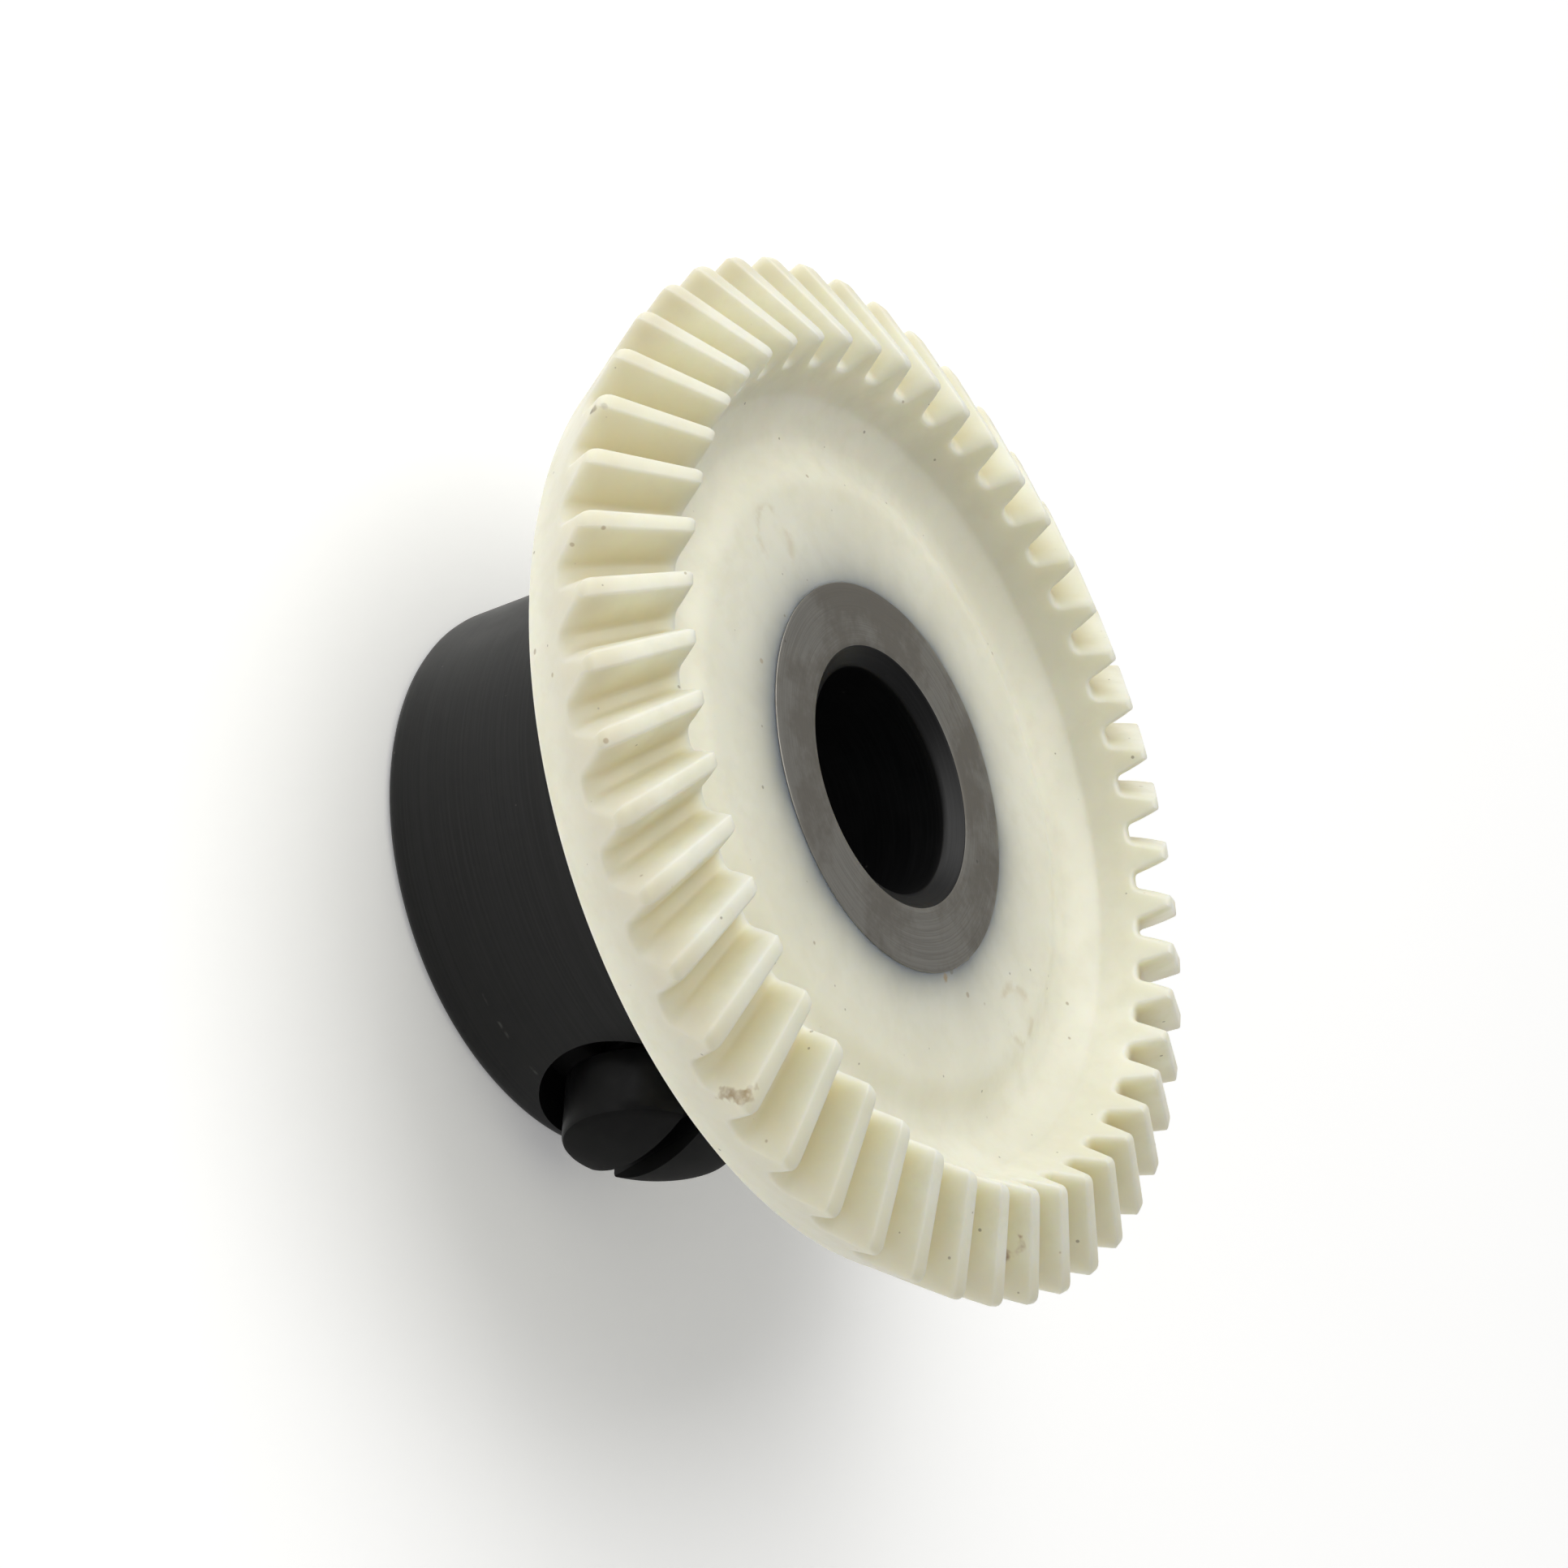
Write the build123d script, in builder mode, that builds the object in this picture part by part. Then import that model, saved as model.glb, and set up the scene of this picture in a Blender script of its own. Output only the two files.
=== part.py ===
from build123d import *
from math import acos, atan, atan2, cos, degrees, hypot, pi, radians, sin, tan
import os

# Bevel gear for a small drive: a moulded toothed disc on a turned steel hub with two set screws.
# The hub stands on its back face. The origin is the centre of that face, +Z runs along the bore
# towards the toothed side, +X points along the first set screw and +Y along the second.
# All lengths are millimetres and all angles are degrees.

os.makedirs("parts", exist_ok=True)

# ---------------------------------------------------------------- driving dimensions: hub
bore_radius = 4.0
bore_chamfer_length = 0.5
bore_chamfer_width = 0.6
hub_radius = 10.05
hub_length = 13.9
hub_edge_chamfer = 0.4
spigot_radius = 6.85
spigot_edge_chamfer = 0.12
shoulder_z = 11.4
lock_groove_radius = 6.25
lock_groove_width = 0.6
lock_groove_z = 12.3
key_count = 12
key_radius = 0.45
key_length = 1.5

# ---------------------------------------------------------------- driving dimensions: set screws
screw_z = 4.36
screw_angles = {"set_screw_1": 0, "set_screw_2": 90}
thread_radius = 1.75
thread_hole_radius = 1.80
counterbore_radius = 3.80
counterbore_floor = 8.0
tip_distance = 4.15
point_radius = 1.05
point_length = 0.7
neck_radius = 1.40
neck_length = 0.5
head_underside = 9.2
head_edge = 11.45
head_radius = 2.93
dome_height = 0.70
slot_width = 0.92
slot_depth = 1.35
slot_angle = 110

# ---------------------------------------------------------------- driving dimensions: teeth
tooth_count = 48
module = 0.75
shaft_ratio = 2.0
pressure_angle = 20.0
addendum = 0.70
dedendum = 0.80
outer_tip_height = 0.93
inner_tip_radius = 14.71
tooth_skew = 4.49
first_tooth_angle = 4.96
root_fillet = 0.16
cut_overrun_out = 1.6
cut_overrun_in = 2.2
cut_overrun_top = 0.45

# ---------------------------------------------------------------- driving dimensions: disc
disc_face_drop = 0.10
boss_radius = 10.5
trough_inner_radius = 11.5
trough_outer_radius = 12.3
trough_depth = 0.45
collar_radius = 13.55
collar_height = 0.20
rim_back_radius = 16.45
rim_edge_round = 0.20
trough_round = 0.60

# ---------------------------------------------------------------- worked-out tooth geometry
pitch_radius = module * tooth_count / 2
pitch_angle = degrees(atan(shaft_ratio))
pitch_sin = sin(radians(pitch_angle))
pitch_cos = cos(radians(pitch_angle))
cone_distance = pitch_radius / pitch_sin
face_angle = pitch_angle + degrees(atan(addendum / cone_distance))
outer_tip_radius = pitch_radius + addendum * pitch_cos
outer_tip_z = hub_length + outer_tip_height
inner_tip_z = outer_tip_z + (outer_tip_radius - inner_tip_radius) / tan(radians(face_angle))
inner_pitch_radius = pitch_radius * inner_tip_radius / outer_tip_radius
pitch_z = outer_tip_z - addendum * pitch_sin
inner_pitch_z = pitch_z + (pitch_radius - inner_pitch_radius) / tan(radians(pitch_angle))
face_width = (pitch_radius - inner_pitch_radius) / pitch_sin
gap_angle = first_tooth_angle + 180 / tooth_count


def screw_plane(angle):
    """Plane across a set screw at the bore's axis, facing outwards along the screw."""
    azimuth = radians(angle)
    outward = Vector(cos(azimuth), sin(azimuth), 0)
    around = Vector(-sin(azimuth), cos(azimuth), 0)
    return Plane(origin=(0, 0, screw_z), x_dir=around, z_dir=outward)


def on_cone(radius, angle, z):
    """Point at this distance from the bore's axis, azimuth and height."""
    return Vector(radius * cos(radians(angle)), radius * sin(radians(angle)), z)


def gap_plane(overrun):
    """Plane across a skewed tooth gap, this far beyond its large end, facing outwards.

    The gap's pitch line is straight. It runs past the bore's axis, not through it.
    """
    inner = on_cone(inner_pitch_radius, gap_angle, inner_pitch_z)
    outer = on_cone(pitch_radius, gap_angle + tooth_skew, pitch_z)
    origin = outer + (outer - inner).normalized() * overrun
    azimuth = atan2(origin.Y, origin.X)
    across = Vector(-sin(azimuth), cos(azimuth), 0)
    along = Vector(pitch_sin * cos(azimuth), pitch_sin * sin(azimuth), -pitch_cos)
    return Plane(origin=origin, x_dir=across, z_dir=along)


def gap_point(height, scale):
    """Point on an involute flank of the gap, this far above the pitch line of the large end."""
    virtual_radius = pitch_radius / pitch_cos
    virtual_teeth = tooth_count / pitch_cos
    base_radius = virtual_radius * cos(radians(pressure_angle))
    radius = virtual_radius + height
    flank = acos(base_radius / radius)
    pitch_flank = radians(pressure_angle)
    opening = (tan(flank) - flank) - (tan(pitch_flank) - pitch_flank)
    half_gap = pi / (2 * virtual_teeth) + opening
    return (scale * radius * sin(half_gap), scale * (radius * cos(half_gap) - virtual_radius))


def gap_section(overrun):
    """Cross-section of one tooth gap, this far beyond its large end."""
    plane = gap_plane(overrun)
    scale = hypot(plane.origin.X, plane.origin.Y) / pitch_radius
    root = gap_point(-dedendum, scale)
    middle = gap_point(0, scale)
    top = gap_point(addendum + cut_overrun_top, scale)
    with BuildSketch(plane) as section:
        with BuildLine():
            Polyline((-top[0], top[1]), (0, top[1]), top)
            ThreePointArc(top, middle, root)
            Line(root, (-root[0], root[1]))
            ThreePointArc((-root[0], root[1]), (-middle[0], middle[1]), (-top[0], top[1]))
        make_face()
        fillet(section.vertices().group_by(Axis.Y)[0], root_fillet * scale)
    return section.sketch


# ---------------------------------------------------------------- hub
with BuildPart() as hub:
    with BuildSketch(Plane.XZ) as hub_profile:
        with BuildLine():
            Polyline(
                (bore_radius + bore_chamfer_width, 0),
                (hub_radius - hub_edge_chamfer, 0),
                (hub_radius, hub_edge_chamfer),
                (hub_radius, shoulder_z),
                (spigot_radius, shoulder_z),
                (spigot_radius, lock_groove_z),
                (lock_groove_radius, lock_groove_z),
                (lock_groove_radius, lock_groove_z + lock_groove_width),
                (spigot_radius, lock_groove_z + lock_groove_width),
                (spigot_radius, hub_length - spigot_edge_chamfer),
                (spigot_radius - spigot_edge_chamfer, hub_length),
                (bore_radius + bore_chamfer_width, hub_length),
                (bore_radius, hub_length - bore_chamfer_length),
                (bore_radius, bore_chamfer_length),
                close=True,
            )
        make_face()
    revolve(axis=Axis.Z)
    # Half-round keys cut into the spigot; the moulding fills them and carries the torque.
    with BuildSketch(Plane.XY.offset(shoulder_z)) as key_profile:
        with PolarLocations(spigot_radius, key_count):
            Circle(key_radius)
    extrude(amount=key_length, mode=Mode.SUBTRACT)
    # Counterbored holes for the set screws.
    for angle in screw_angles.values():
        with BuildSketch(screw_plane(angle).offset(counterbore_floor)):
            Circle(counterbore_radius)
        extrude(amount=hub_radius, mode=Mode.SUBTRACT)
        with BuildSketch(screw_plane(angle)):
            Circle(thread_hole_radius)
        extrude(amount=hub_radius, mode=Mode.SUBTRACT)

# ---------------------------------------------------------------- toothed disc
with BuildPart() as tooth_gap:
    add(gap_section(cut_overrun_out))
    add(gap_section(-face_width - cut_overrun_in))
    loft(ruled=True)

face_z = hub_length - disc_face_drop

with BuildPart() as bevel_gear:
    with BuildSketch(Plane.XZ) as disc_profile:
        with BuildLine():
            FilletPolyline(
                (spigot_radius - spigot_edge_chamfer, face_z),
                (boss_radius, face_z),
                (trough_inner_radius, face_z - trough_depth),
                (trough_outer_radius, face_z - trough_depth),
                (collar_radius, hub_length + collar_height),
                radius=trough_round,
            )
            Polyline(
                (collar_radius, hub_length + collar_height),
                (inner_tip_radius, inner_tip_z),
                (outer_tip_radius, outer_tip_z),
                (rim_back_radius, shoulder_z),
                (lock_groove_radius, shoulder_z),
                (lock_groove_radius, face_z),
                (spigot_radius - spigot_edge_chamfer, face_z),
            )
        make_face()
    revolve(axis=Axis.Z)
    rim_edge = bevel_gear.edges().filter_by(GeomType.CIRCLE).filter_by(
        lambda edge: abs(edge.radius - rim_back_radius) < 0.01
    )
    fillet(rim_edge, rim_edge_round)
    with PolarLocations(0, tooth_count):
        add(tooth_gap.part, mode=Mode.SUBTRACT)
    add(hub.part, mode=Mode.SUBTRACT)


# ---------------------------------------------------------------- set screws
def set_screw(angle):
    """Domed slotted screw lying along its hole, its point towards the bore."""
    across = screw_plane(angle)
    lengthways = Plane(origin=across.origin, x_dir=across.z_dir, z_dir=across.x_dir)
    dome_radius = (head_radius**2 + dome_height**2) / (2 * dome_height)
    half_way = (dome_radius**2 - (head_radius / 2) ** 2) ** 0.5
    head_top = head_edge + dome_height
    with BuildPart() as screw:
        with BuildSketch(lengthways):
            with BuildLine():
                Polyline(
                    (head_top, 0),
                    (tip_distance, 0),
                    (tip_distance, point_radius),
                    (tip_distance + point_length, thread_radius),
                    (head_underside - neck_length, thread_radius),
                    (head_underside - neck_length, neck_radius),
                    (head_underside, neck_radius),
                    (head_underside, head_radius),
                    (head_edge, head_radius),
                )
                ThreePointArc(
                    (head_edge, head_radius),
                    (head_top - dome_radius + half_way, head_radius / 2),
                    (head_top, 0),
                )
            make_face()
        revolve(axis=Axis(across.origin, across.z_dir))
        with BuildSketch(across.offset(head_top)):
            Rectangle(3 * head_radius, slot_width, rotation=slot_angle)
        extrude(amount=-slot_depth, mode=Mode.SUBTRACT)
    return screw


screws = {name: set_screw(angle) for name, angle in screw_angles.items()}

# ---------------------------------------------------------------- export
pieces = {"bevel_gear": bevel_gear, "hub": hub, **screws}
for name, piece in pieces.items():
    piece.part.label = name
    export_step(piece.part, f"parts/{name}.step")
    print(name, round(piece.part.volume, 2), piece.part.bounding_box())
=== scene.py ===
from math import atan, cos, hypot, pi, radians, sin, tan

import bmesh
import bpy
import numpy as np
from mathutils import Matrix, Vector


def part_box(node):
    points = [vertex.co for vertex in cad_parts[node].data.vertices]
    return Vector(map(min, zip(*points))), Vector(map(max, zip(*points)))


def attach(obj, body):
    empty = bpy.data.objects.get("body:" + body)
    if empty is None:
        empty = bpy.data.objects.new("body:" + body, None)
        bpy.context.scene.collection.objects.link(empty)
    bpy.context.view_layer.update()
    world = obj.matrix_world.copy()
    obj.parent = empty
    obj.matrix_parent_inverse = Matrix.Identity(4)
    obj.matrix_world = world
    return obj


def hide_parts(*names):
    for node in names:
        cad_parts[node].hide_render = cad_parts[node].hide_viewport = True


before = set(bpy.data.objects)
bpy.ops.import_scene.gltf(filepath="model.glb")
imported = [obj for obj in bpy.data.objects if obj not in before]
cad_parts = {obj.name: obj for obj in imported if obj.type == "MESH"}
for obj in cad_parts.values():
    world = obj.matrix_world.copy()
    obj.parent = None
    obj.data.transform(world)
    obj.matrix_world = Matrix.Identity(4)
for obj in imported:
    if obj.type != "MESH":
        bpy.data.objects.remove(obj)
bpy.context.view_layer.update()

MM = 0.001
TURN = 2 * pi


def node_box(name):
    """A CAD node's lowest and highest corners, in millimetres."""
    low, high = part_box(name)
    return low / MM, high / MM


gear_low, gear_high = node_box("bevel_gear")
_, hub_high = node_box("hub")
screw_low, screw_high = node_box("set_screw_1")

# ------------------------------------------------------------------ sizes taken from the frame
HUB_RADIUS = hub_high.x
HUB_LENGTH = hub_high.z
DISC_BACK_Z = gear_low.z
INNER_TIP_Z = gear_high.z
SCREW_Z = (screw_low.z + screw_high.z) / 2
HEAD_RADIUS = (screw_high.z - screw_low.z) / 2
SCREW_POINT = screw_low.x
SCREW_TOP = screw_high.x

# ------------------------------------------------------------------ teeth
# An end round is how far it reaches along the tip, how far along the root, and how deep it sinks.
TOOTH_COUNT = 48
PITCH_RADIUS = 18.0
SHAFT_RATIO = 2.0
ADDENDUM = 0.70
DEDENDUM = 0.80
ROOT_HALF_WIDTH = 0.322
TIP_HALF_GAP = 0.858
FLANK_CROWN = 0.023
ROOT_ROUND = 0.24
TIP_ROUND = 0.13
INNER_END_ROUND = (0.35, 0.75, 0.22)
OUTER_END_ROUND = (0.45, 1.05, 0.30)
TOOTH_SKEW = radians(4.49)
FIRST_TOOTH = radians(4.96)
INNER_TIP_RADIUS = 14.71
END_STEPS = 5
TOOTH_STEPS = 10

# ------------------------------------------------------------------ disc
SPIGOT_RADIUS = 6.85
FACE_DROP = 0.10
LIP_RISE = 0.07
LIP_REACH = 0.4
LIP_OVERLAP = 0.04
BOSS_RADIUS = 10.4
HALO_REACH = 0.95
TROUGH_RADII = (11.75, 12.15)
TROUGH_DEPTH = 0.45
COLLAR_RADIUS = 13.55
COLLAR_HEIGHT = 0.20
RIM_BACK_RADIUS = 16.45
RIM_ROUND = 0.20
BACK_RADII = (15.6, 14.6, 13.4, 12.2, 11.2, 10.4, 9.6, SPIGOT_RADIUS - 0.02)

# ------------------------------------------------------------------ marks on the disc
# Azimuth in degrees and distance from the axis; dirt also has a size and a colour.
GATE_MARKS = ((-128, 9.1), (57, 9.9))
GATE_RADIUS = 1.0
GATE_DEPTH = 0.03
MARKED_DEPTH = 0.5
BROWN = (0.34, 0.25, 0.14)
RUST = (0.24, 0.08, 0.02)
GREY = (0.20, 0.18, 0.14)
GATE_COLOUR = (0.60, 0.52, 0.36)
DIRT = (
    (-108.0, 18.1, 0.20, GREY),
    (-102.5, 18.1, 0.16, GREY),
    (-29.5, 17.9, 0.42, BROWN),
    (19.8, 16.6, 0.50, RUST),
    (30.0, 7.0, 0.24, BROWN),
    (34.0, 6.9, 0.16, GREY),
    (73.0, 11.2, 0.14, GREY),
    (-40.0, 17.9, 0.16, GREY),
    (-100.0, 14.4, 0.16, GREY),
)

# ------------------------------------------------------------------ hub and screws
BORE_RADIUS = 4.0
BORE_CHAMFER = (0.6, 0.5)
HUB_EDGE_ROUND = 0.45
SPIGOT_EDGE_ROUND = 0.03
HUB_SOFTENING = 0.07
BRIGHT_DEPTH = 0.05
SCRATCH_Z = 1.95
SCRATCH_ANGLES = (-39.0, -18.0)
SCREW_ANGLES = (0.0, 90.0)
COUNTERBORE_RADIUS = 3.80
COUNTERBORE_FLOOR = 8.0
TAPPED_RADIUS = 1.80
TAPPED_START = 1.0
THREAD_RADIUS = 1.75
THREAD_ROOT_RADIUS = 1.42
THREAD_PITCH = 0.635
NECK_RADIUS = 1.40
HEAD_UNDERSIDE = 9.2
HEAD_EDGE_ROUND = 0.12
HEAD_SOFTENING = 0.05
DOME_HEIGHT = 0.68
SLOT_WIDTH = 0.92
SLOT_DEPTH = 1.35
SLOT_ANGLE = 110.0
SHARP_ANGLE = 42

# ------------------------------------------------------------------ worked out
PITCH_ANGLE = atan(SHAFT_RATIO)
PITCH_SIN = sin(PITCH_ANGLE)
PITCH_COS = cos(PITCH_ANGLE)
OUTER_TIP_RADIUS = PITCH_RADIUS + ADDENDUM * PITCH_COS
INNER_PITCH_RADIUS = PITCH_RADIUS * INNER_TIP_RADIUS / OUTER_TIP_RADIUS
CONE_APEX_Z = INNER_TIP_Z + INNER_PITCH_RADIUS / tan(PITCH_ANGLE) - (
    ADDENDUM * PITCH_SIN * INNER_PITCH_RADIUS / PITCH_RADIUS
)
OUTER_TIP_Z = CONE_APEX_Z - PITCH_RADIUS / tan(PITCH_ANGLE) + ADDENDUM * PITCH_SIN
FACE_Z = HUB_LENGTH - FACE_DROP
COLLAR_Z = HUB_LENGTH + COLLAR_HEIGHT


# ------------------------------------------------------------------ mesh helpers
def new_object(name, points, faces):
    """Mesh object from points in millimetres."""
    mesh = bpy.data.meshes.new(name)
    mesh.from_pydata((np.asarray(points) * MM).tolist(), [], faces)
    mesh.shade_smooth()
    mesh.validate()
    item = bpy.data.objects.new(name, mesh)
    bpy.context.scene.collection.objects.link(item)
    return item


def apply_modifiers(item):
    """Replace an object's mesh by its evaluated one."""
    graph = bpy.context.evaluated_depsgraph_get()
    mesh = bpy.data.meshes.new_from_object(item.evaluated_get(graph))
    item.modifiers.clear()
    item.data = mesh


def cut(item, cutter):
    """Subtract one closed mesh from another, then drop the cutter."""
    modifier = item.modifiers.new("cut", "BOOLEAN")
    modifier.operation = "DIFFERENCE"
    modifier.solver = "EXACT"
    modifier.object = cutter
    apply_modifiers(item)
    bpy.data.objects.remove(cutter)


def soften_edges(item, width, angle):
    """Round the sharp edges of a mesh."""
    modifier = item.modifiers.new("soften", "BEVEL")
    modifier.width = width * MM
    modifier.segments = 3
    modifier.limit_method = "ANGLE"
    modifier.angle_limit = radians(angle)
    modifier.harden_normals = True
    modifier.miter_outer = "MITER_ARC"
    apply_modifiers(item)


def grid_faces(rows, columns, closed):
    """Quads between rings of the same number of points; closed joins the last ring to the first."""
    faces = []
    last = rows if closed else rows - 1
    for i in range(last):
        low, high = i * columns, ((i + 1) % rows) * columns
        for j in range(columns):
            k = (j + 1) % columns
            faces.append((low + j, low + k, high + k, high + j))
    return faces


def arc(centre, radius, start, end, steps):
    """Points along an arc, angles in degrees."""
    angles = np.radians(np.linspace(start, end, steps + 1))
    return [(centre[0] + radius * cos(a), centre[1] + radius * sin(a)) for a in angles]


def spaced(start, end, step):
    """Points along a straight run, about this far apart, without the last one."""
    start, end = np.asarray(start, float), np.asarray(end, float)
    count = max(1, round(float(np.linalg.norm(end - start)) / step))
    return [tuple(start + (end - start) * i / count) for i in range(count)]


def smooth_step(value):
    value = np.clip(value, 0, 1)
    return value * value * (3 - 2 * value)


# ------------------------------------------------------------------ toothed disc
def tooth_section(inset=0.0):
    """One tooth space from tooth centre to tooth centre at the large end, sunk into the tooth by inset.

    Gives distance along the pitch circle and height above the pitch line.
    """
    flank_angle = atan((TIP_HALF_GAP - ROOT_HALF_WIDTH) / (ADDENDUM + DEDENDUM))
    reach = tan((pi / 2 - flank_angle) / 2)
    widening = inset / cos(flank_angle)
    drift = inset * tan(flank_angle)
    root_round = ROOT_ROUND + inset
    tip_round = max(TIP_ROUND - inset, 0.02)
    root_corner = ROOT_HALF_WIDTH + widening - drift
    tip_corner = TIP_HALF_GAP + widening - drift
    root_z, tip_z = -DEDENDUM - inset, ADDENDUM - inset
    half_pitch = pi * PITCH_RADIUS / TOOTH_COUNT
    lean = np.degrees(flank_angle)
    root_arc = arc((root_corner - root_round * reach, root_z + root_round), root_round, -90, -lean, 3)
    tip_arc = arc((tip_corner + tip_round * reach, tip_z - tip_round), tip_round, 180 - lean, 90, 3)
    flank = []
    for share in (1 / 3, 2 / 3):
        start, end = np.array(root_arc[-1]), np.array(tip_arc[0])
        bulge = FLANK_CROWN * 4 * share * (1 - share)
        flank.append(tuple(start + (end - start) * share - np.array([bulge, 0])))
    half = [(0, root_z)] + root_arc + flank + tip_arc + [(half_pitch, tip_z)]
    half = np.array(half)
    mirrored = half[1:][::-1] * np.array([-1, 1])
    return np.vstack([mirrored, half[:-1]])


def skew_table():
    """Azimuth of a straight skewed pitch line against its distance from the axis."""
    start = np.array([INNER_PITCH_RADIUS * cos(FIRST_TOOTH), INNER_PITCH_RADIUS * sin(FIRST_TOOTH)])
    outer = FIRST_TOOTH + TOOTH_SKEW
    end = np.array([PITCH_RADIUS * cos(outer), PITCH_RADIUS * sin(outer)])
    shares = np.linspace(-0.4, 1.4, 181)[:, None]
    line = start + (end - start) * shares
    return np.hypot(line[:, 0], line[:, 1]), np.arctan2(line[:, 1], line[:, 0])


class Teeth:
    """Columns of points that run along the teeth, shared by every ring of the disc's mesh."""

    def __init__(self):
        self.per_tooth = len(tooth_section())
        self.columns = self.per_tooth * TOOTH_COUNT
        self.x, self.h = np.tile(tooth_section(), (TOOTH_COUNT, 1)).T
        self.space = np.repeat(np.arange(TOOTH_COUNT), self.per_tooth)
        self.centre = (self.space + 0.5) * TURN / TOOTH_COUNT
        self.skew_radius, self.skew_azimuth = skew_table()

    def blank_line(self, inner):
        """Radius and height of one point of the blank's end cone, and its slope."""
        if inner:
            start, end = (COLLAR_RADIUS, COLLAR_Z), (INNER_TIP_RADIUS, INNER_TIP_Z)
        else:
            start, end = (RIM_BACK_RADIUS, DISC_BACK_Z), (OUTER_TIP_RADIUS, OUTER_TIP_Z)
        return start, (end[0] - start[0]) / (end[1] - start[1])

    def pitch_radius(self, height, inner):
        """Pitch-cone radius where each column meets the blank's end cone."""
        ratio = height / PITCH_RADIUS
        (radius, z), slope = self.blank_line(inner)
        drop = 1 / tan(PITCH_ANGLE) - ratio * PITCH_SIN
        return (radius + slope * (CONE_APEX_Z - z)) / (1 + ratio * PITCH_COS + slope * drop)

    def place(self, x, height, radius):
        """Radius, azimuth and z of the columns where the pitch cone has these radii."""
        ratio = height / PITCH_RADIUS
        azimuth = np.interp(radius, self.skew_radius, self.skew_azimuth)
        around = self.centre + azimuth + x / PITCH_RADIUS
        z = CONE_APEX_Z - radius / tan(PITCH_ANGLE) + radius * ratio * PITCH_SIN
        return radius * (1 + ratio * PITCH_COS), around, z

    def end_ring(self, inner, share):
        """Ring on the rounding between a tooth end and the teeth; share 0 is on the end face."""
        tip_length, root_length, inset = INNER_END_ROUND if inner else OUTER_END_ROUND
        depth = (ADDENDUM - self.h) / (ADDENDUM + DEDENDUM)
        length = (tip_length + (root_length - tip_length) * depth) * (1 - cos(share * pi / 2))
        inset *= 1 - sin(share * pi / 2)
        scale = (INNER_PITCH_RADIUS if inner else PITCH_RADIUS) / PITCH_RADIUS
        x, height = np.tile(tooth_section(inset / scale), (TOOTH_COUNT, 1)).T
        sign = 1 if inner else -1
        radius = self.pitch_radius(height, inner) + sign * length * PITCH_SIN
        return x, height, radius


def face_profile():
    """Front face of the disc from the spigot to the collar's corner, radius and z."""
    inner = SPIGOT_RADIUS - LIP_OVERLAP
    lip = [(inner, FACE_Z - 1.2), (inner, FACE_Z + LIP_RISE - 0.03), (inner + 0.02, FACE_Z + LIP_RISE)]
    radii = np.concatenate([
        np.linspace(SPIGOT_RADIUS + 0.1, BOSS_RADIUS, 17),
        np.linspace(BOSS_RADIUS, TROUGH_RADII[0], 7)[1:],
        np.linspace(TROUGH_RADII[0], TROUGH_RADII[1], 3)[1:],
        np.linspace(TROUGH_RADII[1], COLLAR_RADIUS - 0.12, 8)[1:],
    ])
    fall = smooth_step((radii - BOSS_RADIUS) / (TROUGH_RADII[0] - BOSS_RADIUS))
    climb = np.clip((radii - TROUGH_RADII[1]) / (COLLAR_RADIUS - TROUGH_RADII[1]), 0, 1)
    z = FACE_Z - TROUGH_DEPTH * fall + (COLLAR_Z - FACE_Z + TROUGH_DEPTH) * climb**1.35
    z += LIP_RISE * np.exp((SPIGOT_RADIUS - radii) / LIP_REACH)
    return lip + list(zip(radii, z))


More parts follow.
